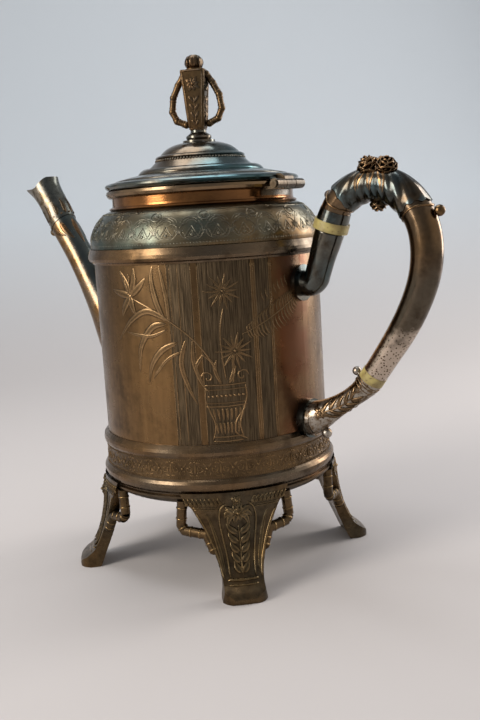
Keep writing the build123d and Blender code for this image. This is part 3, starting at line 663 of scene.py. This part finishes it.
vase_relief = Relief(on_vase)
for vase_relief.side in (-1, 1):
    vase_relief.line([(3.0, 229.0), (3.9, 241.0), (5.2, 257.0)], 0.7, 0.35)
    for k, height in enumerate((231.5, 235.4, 239.3, 243.2)):
        reach = 1.9 + 0.3 * k
        vase_relief.strip([(0, height - 1.6), (reach * 0.6, height + 0.4), (reach, height + 1.6)], 1.5, 0.55, steps=8)
vase_relief.line([(-5.3, 257.2), (0, 257.2), (5.3, 257.2)], 0.9, 0.45, steps=8)
vase_relief.line([(-3.2, 228.6), (0, 228.6), (3.2, 228.6)], 0.8, 0.45, steps=8)
vase_relief.line([(0, 229.6), (0.2, 236.0), (0, 245.0)], 0.7, 0.45, steps=10)
FLOWER = 250.6
vase_relief.bloom(0, FLOWER, 4.2, 8, 2.2, 0.8, tilt=0.2)
vase_relief.bead(0, FLOWER, 1.2, 1.3)
vase_relief.finish("finial_vase_relief", cast_relief, "lid", "cast_metal", copies=4)


def hoop(made, centre, axis, radius, thick, sides):
    """Rounded ring about a rod: a bamboo joint or a wire collar."""
    axis = Vector(axis).normalized()
    side = axis.orthogonal().normalized()
    other = axis.cross(side)
    start = len(made.verts)
    for c, s in compass(sides):
        out = side * c + other * s
        for reach, along in compass(8):
            made.verts.append(Vector(centre) + out * (radius + thick * reach) + axis * thick * 1.1 * along)
            made.ridge.append(0.6 + 0.4 * reach)
    for k in range(sides):
        for i in range(8):
            a, b = start + k * 8, start + (k + 1) % sides * 8
            made.faces.append((a + i, a + (i + 1) % 8, b + (i + 1) % 8, b + i))


TWIG_R, BRACKET_R = 1.58, 2.42
TWIG = [(6.0, 255.7), (9.2, 251.1), (12.2, 245.1), (13.2, 238.1), (11.0, 233.3), (6.2, 231.1)]
BUD_R, BUD_FOOT, BUD_MIDDLE, BUD_TALL = 4.3, 259.0, 261.7, 5.9
joints = Relief(None)
for side in (-1, 1):
    knots = [swung(FINIAL_TURN, side * x, z) for x, z in TWIG]
    for start, end in zip(knots, knots[1:]):
        for part in (0.25, 0.75):
            hoop(joints, start.lerp(end, part), end - start, TWIG_R, 0.34, 14)
for c, s in compass(6):
    out, across = Vector((c, s, 0)), Vector((-s, c, 0))
    rows, ridges = [], []
    for i in range(8):
        t = i / 7
        rise = BUD_FOOT + BUD_TALL * t
        belly = sqrt(max(BUD_R ** 2 - (rise - BUD_MIDDLE) ** 2, 0.3)) + 0.05
        width = 2.15 * sin(pi * min(0.12 + 0.80 * t, 0.97)) ** 0.8
        rows.append([out * (belly + lift) + across * width * offset + Vector((0, 0, rise))
                     for offset, lift in ((-1, -0.4), (-1, 0.1), (-0.4, 0.42), (0, 0.2), (0.4, 0.42), (1, 0.1),
                                          (1, -0.4))])
        ridges.append([0, 0.2, 1, 0.3, 1, 0.2, 0])
    joints.loft(rows, ridges)
joints.finish("finial_twigs_and_bud", cast_relief, "lid", "cast_metal")


# Hinge: three knuckles on a pin behind the neck, two on the body and one on an arm of the lid. It is
# darker than the rim beside it.
hinge_plate = plated("hinge_plate", (0.068, 0.050, 0.032), (0.050, 0.044, 0.036), DARK_TARNISH_AND_REFLECTION, (0.22, 0.36), patch=60.0)
dress(hinge_plate, "hinge_body_leaf", "hinge_lid_leaf", "hinge_pin")


# Spout: a tapered tube with a long soft bend, soldered over the strainer holes. A sleeve and a cast
# beaked lip finish its mouth, and a small drop hangs under the sleeve.
def paint_shade_up_and_inward(finish, tone):
    """Painted shade: a cooler, darker tone on the side that faces up and towards the pot."""
    tree, shader = inside(finish)
    normal = wire(tree, "ShaderNodeNewGeometry").outputs["Normal"]
    facing = wire(tree, "ShaderNodeVectorMath", {"operation": "DOT_PRODUCT"}, _0=normal,
                  _1=(0.80, 0.35, 0.45)).outputs["Value"]
    upper = ramped(tree, facing, -0.15, 0.40, 0.0, 0.9)
    tree.links.new(mixed(tree, upper, carried(shader, "Base Color"), tone), shader.inputs["Base Color"])


spout_plate = plated("spout_plate", (0.30, 0.17, 0.068), (0.24, 0.135, 0.06), DARK_TARNISH_AND_REFLECTION, (0.16, 0.34), patch=24.0,
                     grain=(6, 6, 1), pits=0.12)
lip_plate = plated("lip_plate", (0.21, 0.135, 0.07), (0.16, 0.125, 0.08), DARK_TARNISH_AND_REFLECTION, (0.22, 0.40), patch=50.0, pits=0.3)
# Painted shade on the side of the spout and of its lip that faces up and towards the pot.
paint_shade_up_and_inward(spout_plate, (0.060, 0.085, 0.088))
paint_shade_up_and_inward(lip_plate, (0.075, 0.085, 0.080))
dress(spout_plate, "spout_tube")
dress(lip_plate, "spout_lip", "spout_sleeve", "spout_sleeve_drop")


def along_tube(stations, sign=1):
    """Surface of a bent round tube in the plane y = 0: a mm round it from its outer side, b mm along it."""
    _, length_of_tube, stretch = walk(stations, 90)

    def surface(a, b, lift):
        one, two, t = stretch(b)
        x, z, radius = (p + (q - p) * t for p, q in zip(one, two))
        tx, tz = two[0] - one[0], two[1] - one[1]
        length = hypot(tx, tz)
        out = Vector((-tz / length, 0, tx / length)) * sign
        angle = a / radius
        return Vector((x, 0, z)) + (out * cos(angle) + Vector((0, 1, 0)) * sin(angle)) * (radius + lift)
    surface.length = length_of_tube
    return surface


SPOUT_STATIONS = [(-62.5, 102.5, 12.2), (-67.5, 114.5, 12.4), (-74.0, 127.5, 11.0), (-81.6, 141.0, 9.4),
                  (-90.3, 156.0, 8.3), (-99.4, 170.8, 7.85), (-109.0, 185.9, 7.75)]
on_spout = along_tube(SPOUT_STATIONS, sign=-1)
leafing = Relief(on_spout)
for centre, reach in ((0.0, 17.0), (9.0, 13.0), (-9.0, 13.0), (16.0, 9.0), (-16.0, 9.0)):
    end = on_spout.length - 3.0
    leafing.strip([(centre * 0.9, end), (centre * 0.8, end - reach * 0.5), (centre * 0.55, end - reach)], 3.6, 0.30)
leafing.finish("spout_sleeve_leaves", cast_relief, "pot", "cast_metal")
TIP_STATIONS = [(-109.0, 186.3, 8.15), (-112.9, 193.1, 8.25), (-117.0, 199.5, 8.35), (-119.4, 203.6, 8.5)]
tip_work = Relief(along_tube(TIP_STATIONS, sign=-1))
for a in [(k - 4.5) * 5.2 for k in range(10)]:
    tip_work.strip([(a, 1.4), (a + 0.5, 6.0), (a, 11.0)], 2.3, 0.32, steps=10)
    tip_work.bead(a + 2.6, 1.6, 0.6, 0.35, sides=6)
tip_work.finish("spout_lip_leaves", cast_relief, "pot", "cast_metal")


# Upper socket and insulators: a plain elbow rises from the wall and meets the hollow grip through a
# pale ring, with a second ring at the grip's lower end, so that the grip stays cool.
socket_plate = plated("socket_plate", (0.135, 0.105, 0.075), (0.085, 0.105, 0.105), DARK_TARNISH_AND_REFLECTION, (0.10, 0.24), patch=34.0,
                      scratch=0.04)
grip_plate = plated("grip_plate", (0.185, 0.105, 0.048), (0.105, 0.085, 0.062), DARK_TARNISH_AND_REFLECTION, (0.14, 0.30), patch=20.0,
                    scratch=0.05)
dress(socket_plate, "handle_upper_boss", "handle_upper_socket", "handle_ferrule", "handle_lower_boss")
tree, shader = inside(grip_plate)
place = here(tree)
height = wire(tree, "ShaderNodeSeparateXYZ", _0=place).outputs[2]
bare = ramped(tree, reckon(tree, "MULTIPLY_ADD", noise(tree, place, 110.0, 4.0), -0.030, height), 0.112, 0.106)
pit = ramped(tree, wire(tree, "ShaderNodeTexVoronoi", Vector=place, Scale=780.0).outputs["Distance"], 0.36, 0.24)
silver = mixed(tree, pit, (0.50, 0.41, 0.33), (0.07, 0.04, 0.02))
tree.links.new(mixed(tree, bare, carried(shader, "Base Color"), silver), shader.inputs["Base Color"])
dress(grip_plate, "handle_grip")
ELBOW = [(59.2, 148.6, 6.3), (62.4, 148.1, 6.2), (65.6, 148.3, 6.2), (67.9, 150.2, 6.3), (69.2, 153.4, 6.3),
         (72.0, 160.9, 6.5), (74.6, 167.6, 7.0), (76.82, 173.35, 7.3)]
SOCKET_LEAN = radians(20)
ELBOW_STEPS, ELBOW_SIDES = 48, 56
elbow = Relief(None)
fine = smooth_path(ELBOW, ELBOW_STEPS)
rows = []
for i, (x, z, radius) in enumerate(fine):
    before, after = fine[max(i - 1, 0)], fine[min(i + 1, ELBOW_STEPS)]
    along = Vector((after[0] - before[0], 0, after[1] - before[1])).normalized()
    if i in (0, ELBOW_STEPS):
        along = Vector((1, 0, 0)) if i == 0 else Vector((sin(SOCKET_LEAN), 0, cos(SOCKET_LEAN)))
    out = Vector((-along.z, 0, along.x))
    rows.append([Vector((x, 0, z)) + (out * c + Vector((0, 1, 0)) * s) * radius for c, s in compass(ELBOW_SIDES)])
elbow.loft(rows, [[0.7] * ELBOW_SIDES] * len(rows))
elbow.finish("handle_upper_elbow", socket_plate, "pot", "body_metal", "handle_upper_socket")
bone, tree, shader = blank("aged_bone")
place = here(tree)
stain, fibre = noise(tree, place, 170.0, 5.0), noise(tree, place, 900.0, 2.0)
ivory = mixed(tree, ramped(tree, stain, 0.38, 0.66), (0.44, 0.36, 0.13), (0.23, 0.165, 0.06))
tree.links.new(mixed(tree, ramped(tree, fibre, 0.60, 0.75), ivory, (0.12, 0.08, 0.03)), shader.inputs["Base Color"])
shader.inputs["Roughness"].default_value = 0.36
shader.inputs["Subsurface Weight"].default_value = 0.08
shader.inputs["Subsurface Radius"].default_value = (0.002, 0.0012, 0.0006)
bumpy = wire(tree, "ShaderNodeBump", Strength=0.08, Distance=0.0003, Height=fibre)
tree.links.new(bumpy.outputs[0], shader.inputs["Normal"])
dress(bone, "handle_upper_insulator", "handle_lower_insulator")


# Grip's leaf wrap: a cast leaf folded round the top of the grip, veined from the rose outwards, with a
# turned-up lip at both ends.
GRIP = [(80.6, 182.7, 7.2), (84.0, 187.1, 7.4), (89.4, 190.7, 7.5), (96.4, 193.1, 7.5), (104.0, 193.5, 7.5),
        (111.8, 190.9, 7.5), (118.8, 185.3, 7.5), (123.8, 177.5, 7.5), (126.4, 167.9, 7.5), (126.4, 157.9, 7.4),
        (124.2, 147.9, 7.2), (120.2, 138.1, 7.0), (115.0, 128.5, 6.8), (109.0, 119.5, 6.5), (102.8, 110.9, 6.2),
        (98.7, 105.4, 6.1)]
on_grip = along_tube(GRIP)
leaf_plate = plated("leaf_plate", (0.068, 0.098, 0.104), (0.100, 0.072, 0.046), DARK_TARNISH_AND_REFLECTION, (0.14, 0.28), patch=42.0,
                    scratch=0.05, relief=True)
leaf = Relief(on_grip)
WRAP_FROM, WRAP_TO, WRAP_THICK, HEART, GRIP_R = 5.9, 51.6, 0.88, 26.0, 7.5
ROWS, AROUND = 96, 120


def leaf_place(i, j):
    """Place on the grip of one point of the leaf, whose two ends are lobed."""
    a = (j / AROUND - 0.5) * 2 * pi * GRIP_R
    turn = abs(a) / GRIP_R
    far = WRAP_TO - 1.6 - 2.2 * sin(turn) ** 2 + 0.5 * cos(10 * turn)
    near = WRAP_FROM + 0.8 + 1.6 * sin(turn) ** 2 - 0.4 * cos(8 * turn)
    return a, near + (far - near) * i / ROWS


for i in range(ROWS + 1):
    for j in range(AROUND):
        a, b = leaf_place(i, j)
        fan = atan2(abs(a) + 1.5, b - HEART)
        vein = 0.5 + 0.5 * cos(26 * fan)
        reach = hypot(abs(a), b - HEART) / 24
        edge = max(0.0, 1 - 14 * min(i / ROWS, 1 - i / ROWS))
        lift = 0.36 + 0.36 * vein * min(1, reach) + 0.16 * edge
        leaf.verts.append(on_grip(a, b, min(lift, WRAP_THICK)))
        leaf.ridge.append(min(1.0, 0.30 + 0.5 * vein + 0.4 * edge))
under = len(leaf.verts)
leaf.verts += [on_grip(*leaf_place(i, j), 0.03) for i in range(ROWS + 1) for j in range(AROUND)]
leaf.ridge += [0.0] * under
for j in range(AROUND):
    k, last = (j + 1) % AROUND, ROWS * AROUND
    for i in range(ROWS):
        low, high = i * AROUND, (i + 1) * AROUND
        leaf.faces.append((low + j, low + k, high + k, high + j))
        leaf.faces.append((under + high + j, under + high + k, under + low + k, under + low + j))
    leaf.faces.append((under + j, under + k, k, j))
    leaf.faces.append((last + j, last + k, under + last + k, under + last + j))
leaf.finish("handle_leaf", leaf_plate, "pot", "lid_metal", "handle_leaf_wrap")


# Rose: three cast flowers close together on the crown of the grip, their petals cupped round their
# hearts, with a hanging bud under the grip opposite them. Raised leaves and lips trim the leaf wrap.
PETAL_THICK = 0.42


def cup_petal(made, heart, up, out, radius, height, width, curl):
    """One cupped petal that rises from a flower's heart and rolls outwards."""
    across = up.cross(out).normalized()
    rows, ridges = [], []
    for i in range(9):
        t = i / 8
        reach = radius * (0.30 + 0.70 * sin(t * pi / 2)) + curl * t * t
        rise = height * (t - 0.25 * curl / max(radius, 0.1) * t ** 3)
        half = width * (0.35 + 0.65 * sin(pi * min(0.15 + 0.62 * t, 0.9))) * (1 - 0.75 * max(0, t - 0.82) / 0.18 * 0.6)
        top, low = [], []
        for k in range(-3, 4):
            s = k / 3
            cupped = out * (reach * (1 - 0.22 * s * s)) + across * (half * s) + up * (rise - 0.10 * height * s * s)
            top.append(heart + cupped)
            low.append(heart + cupped - out * PETAL_THICK * 0.8 - up * PETAL_THICK * 0.5)
        rows.append(top + low[::-1])
        ridges.append([0.25 + 0.75 * t - 0.2 * abs(k / 3) for k in range(-3, 4)] + [0.1] * 7)
    made.loft(rows, ridges)


rose = Relief(None)
for x, y, z, size, lean in ((99.4, -2.2, 202.4, 1.04, -0.30), (109.0, -2.0, 201.8, 0.98, 0.40),
                            (104.2, 3.2, 202.2, 0.96, 0.05)):
    up = Vector((lean, -0.55 if y < 0 else 0.60, 1)).normalized()
    heart = Vector((x, y, z)) - up * 2.4
    side = up.orthogonal().normalized()
    other = up.cross(side)
    for ring_at, (count, radius, height, width, curl) in enumerate(
            ((5, 5.0, 2.2, 4.4, 0.5), (5, 4.4, 4.0, 4.2, 0.2), (5, 3.2, 5.3, 3.2, -0.2), (4, 1.9, 5.9, 2.1, -0.4))):
        for k in range(count):
            turn = 2 * pi * (k + 0.5 * ring_at) / count
            cup_petal(rose, heart, up, side * cos(turn) + other * sin(turn), radius * size, height * size,
                      width * size, curl * size)
UP, CROWN = Vector((0, 0, 1)), Vector((104.0, 0.4, 196.6))
for turn in (-2.6, -1.7, -0.6, 0.6, 1.7, 2.6, 3.14, 0.0):
    cup_petal(rose, CROWN, UP, Vector((cos(turn), 0.85 * sin(turn), 0.0)), 8.2, 3.6, 3.0, 0.8)
bed = []
for i in range(7):
    angle = pi / 2 * i / 6.5
    bed.append([Vector((104.2 + 8.6 * cos(angle) * c, 0.3 + 6.6 * cos(angle) * s, 196.4 + 6.4 * sin(angle)))
                for c, s in compass(28)])
rose.loft(bed, [[0.05] * 28] * 7)
rose_plate = plated("rose_plate", (0.195, 0.112, 0.052), (0.145, 0.105, 0.065), DARK_TARNISH_AND_REFLECTION, (0.18, 0.34), patch=60.0,
                    relief=True)
rose.finish("handle_rose_petals", rose_plate, "pot", "cast_metal", "handle_rose")

hanging = Relief(None)
heart = Vector((103.4, 0, 186.4))
for count, radius, height, width in ((6, 4.0, 3.2, 3.2), (5, 3.0, 4.8, 2.8), (4, 1.7, 5.9, 1.9)):
    for k in range(count):
        turn = 2 * pi * (k + 0.5 * (count % 4)) / count
        cup_petal(hanging, heart, -UP, Vector((cos(turn), sin(turn), 0)), radius, height, width, 0.4)
bed = [[heart + Vector((3.8 * cos(dip) * c, 3.6 * cos(dip) * s, 0.9 - 3.4 * sin(dip))) for c, s in compass(20)]
       for dip in (0, 0.3, 0.6, 0.9, 1.2, 1.45)]
hanging.loft(bed, [[0.05] * 20] * 6)
hanging.finish("handle_hanging_bud", rose_plate, "pot", "cast_metal", "handle_drop")
dress(cast_plate, "handle_knobs")

trim = Relief(on_grip)
for b, crown in ((WRAP_TO + 0.4, 0.55), (WRAP_FROM - 1.0, 0.5)):
    trim.line([((k / 24 - 0.5) * 2 * pi * GRIP_R, b - 2.2 * sin(k / 24 * 2 * pi) ** 2) for k in range(25)], 1.1, crown,
              steps=72, sink=0.2)
for trim.side in (-1, 1):
    for shift in (-7.4, 0.0, 7.4):
        trim.strip([(4.2, HEART + shift * 0.3), (10.0, HEART + shift * 0.8), (15.6, HEART + shift)], 4.4, 0.75)
trim.finish("handle_leaf_trim", rose_plate, "pot", "cast_metal")


# Lower socket: a cast arm that runs down from the lower ring to the wall, its flank covered by a leaf
# and a flower and its silver showing in pits. A round plate carries it on the wall.
LOWER_ARM = [(95.9, 101.7, 6.2), (89.4, 95.5, 5.3), (81.6, 90.3, 5.0), (74.4, 86.1, 5.8), (69.0, 83.1, 7.0),
             (65.6, 81.4, 7.9)]
arm_plate = plated("arm_plate", (0.200, 0.130, 0.075), (0.130, 0.085, 0.045), DARK_TARNISH_AND_REFLECTION, (0.22, 0.42), patch=45.0,
                   scratch=0.15, pits=0.55)
arm_relief = plated("arm_relief", (0.235, 0.150, 0.082), (0.165, 0.105, 0.055), DARK_TARNISH_AND_REFLECTION, (0.20, 0.38), patch=45.0,
                    relief=True)
dress(arm_plate, "handle_lower_socket", "handle_lower_drop")
flank = Relief(along_tube(LOWER_ARM, sign=-1))
for side in (-1, 1):
    for b, reach, lean in ((30.0, 5.2, 7.0), (26.0, 5.0, 7.4), (21.6, 4.4, 7.0), (17.0, 3.8, 6.6), (12.6, 3.2, 6.0)):
        for tip in (-1, 1):
            middle = side * pi / 2 * 6.0
            flank.strip([(middle, b), (middle + tip * reach * 0.6, b - lean * 0.45), (middle + tip * reach, b - lean)],
                        2.3, 0.75, steps=9)
    flank.line([(side * 9.4, 33.0), (side * 9.3, 20.0), (side * 8.2, 7.0)], 0.9, 0.7, steps=16)
    flank.bloom(side * 9.6, 30.6, 3.9, 8, 2.1, 0.9)
    flank.bead(side * 9.6, 30.6, 1.1, 1.3)
for b in (1.0, 2.4, 4.4):
    flank.line([((k / 20 - 0.5) * 2 * pi * 6.1, b) for k in range(21)], 0.7, 0.35, steps=60, sink=0.2)
flank.finish("handle_arm_leaf", arm_relief, "pot", "cast_metal")
PLATE_FACE, PLATE_MIDDLE = 63.1, 80.1


def on_plate(a, b, lift):
    """Front of the round wall plate: a mm across, b mm up from its middle."""
    return Vector((PLATE_FACE + lift, a, PLATE_MIDDLE + b))


plate_edge = Relief(on_plate)
BEADS, BEAD_RING = 26, 8.1
for c, s in compass(BEADS):
    plate_edge.bead(BEAD_RING * c, BEAD_RING * s, 0.7, 0.5, sides=6)
plate_edge.finish("handle_plate_beads", arm_relief, "pot", "body_metal")


# Feet: four cast legs that splay to a pad. Each has a chased crest under the rim, a framed panel with a
# rosette over paired leaves, plain ribs down its edges, and a bent bamboo twig on either side.
foot_plate = plated("foot_plate", (0.140, 0.086, 0.040), (0.090, 0.068, 0.042), (0.018, 0.012, 0.008), (0.24, 0.42),
                    patch=36.0, scratch=0.12)
foot_relief = plated("foot_relief", (0.190, 0.120, 0.052), (0.120, 0.092, 0.054), (0.016, 0.010, 0.006), (0.20, 0.38),
                     patch=36.0, relief=True)
for name in ("front", "back", "left", "right"):
    dress(foot_plate, "foot_" + name, "foot_" + name + "_bamboo")
FOOT_OUTER = [(0.0, 77.9), (1.2, 79.4), (3.9, 79.7), (6.7, 77.4), (9.3, 73.8), (14.3, 70.0), (21.5, 66.9),
              (29.5, 64.8), (37.5, 63.5), (45.5, 62.9), (51.5, 62.6)]
FOOT_CURVE = smooth_path(FOOT_OUTER, 100)
FIRST_FOOT = radians(45)


def on_foot(a, b, lift):
    """Front of the first leg: a mm across, b mm up."""
    out = profile_at(FOOT_CURVE, b) + lift
    return swung(FIRST_FOOT, sqrt(max(out * out - a * a, 1.0)), b, a)


leg = Relief(on_foot)
EDGE = [(11.0, 10.0), (17.9, 11.2), (24.7, 13.2), (32.5, 15.9), (38.9, 19.0), (44.7, 22.2), (49.5, 26.0), (51.0, 26.2)]
ROSETTE = 41.6
for leg.side in (-1, 1):
    leg.line([(profile_at(EDGE, b) - 0.9, b) for b in (11.6, 18.0, 24.0, 30.0, 36.0, 41.5)], 1.5, 0.55, steps=24)
    leg.line([(6.2, 12.4), (6.6, 20.0), (8.0, 30.0), (9.0, 38.0), (8.2, 43.4), (5.4, 46.4)], 1.3, 1.0, steps=26)
    leg.strip([(8.4, 13.0), (9.6, 22.0), (11.6, 31.0), (13.6, 38.0), (15.4, 42.0)], 2.2, 0.35, steps=18)
    for k, b in enumerate((15.6, 20.0, 24.4, 28.8, 33.2)):
        reach = 3.4 + 0.55 * k
        leg.strip([(0.4, b - 1.6), (reach * 0.7, b + 0.6), (reach, b + 3.8)], 3.6, 1.25, steps=10)
    for k in range(9):
        a = 8.0 + 2.0 * k
        leg.strip([(a - 0.9, 45.2), (a + 0.3, 47.2), (a + 1.0, 49.4)], 1.5, 0.60, steps=6)
        leg.strip([(a + 0.9, 45.2), (a + 0.1, 46.4), (a - 0.6, 47.6)], 1.0, 0.45, steps=5)
        leg.bead(a + 1.1, 48.6, 0.55, 0.55, sides=6)
    leg.line([(8.4, 43.6), (15.0, 43.5), (20.6, 43.6)], 0.7, 0.4, steps=12)
    leg.line([(8.6, 44.6), (15.0, 44.5), (21.4, 44.6)], 0.5, 0.4, steps=12)
leg.line([(0, 13.0), (0.2, 24.0), (0, 36.0)], 1.1, 0.95, steps=16)
for leg.side in (-1, 1):
    for tip, low in ((6.4, 43.6), (6.8, 39.0), (5.4, 34.8)):
        leg.strip([(1.2, 41.0), (tip * 0.75, (41.0 + low) / 2 + 1.2), (tip, low)], 3.4, 1.3, steps=10)
leg.bloom(0, ROSETTE, 5.6, 8, 3.8, 1.5, tilt=pi / 8)
leg.bloom(0, ROSETTE, 3.2, 6, 2.3, 2.1)
leg.bead(0, ROSETTE, 1.3, 2.6)
leg.bloom(0, 47.4, 3.0, 7, 2.2, 1.0)
leg.line([(-7.4, 11.2), (0, 11.0), (7.4, 11.2)], 1.3, 0.55, steps=12)
leg.line([(-7.0, 9.2), (0, 9.0), (7.0, 9.2)], 0.8, 0.4, steps=12)
leg.finish("foot_relief", foot_relief, "pot", "cast_metal", copies=4)

BENDS = [(59.8, 25.6, 48.5), (60.0, 26.9, 34.9), (60.4, 25.4, 32.1), (62.0, 15.2, 30.9), (64.0, 12.6, 23.9)]
twigs = Relief(None)
to_foot = Matrix.Rotation(FIRST_FOOT, 3, "Z")
for side in (-1, 1):
    path = [to_foot @ Vector((sqrt(r * r - y * y), side * y, z)) for r, y, z in BENDS]
    for (start, end), places in zip(zip(path, path[1:]), ((0.35, 0.75), (0.5,), (0.30, 0.72), (0.55, 0.98))):
        for part in places:
            hoop(twigs, start.lerp(end, part), end - start, BRACKET_R, 0.42, 18)
twigs.finish("foot_bamboo_joints", foot_relief, "pot", "cast_metal", copies=4)
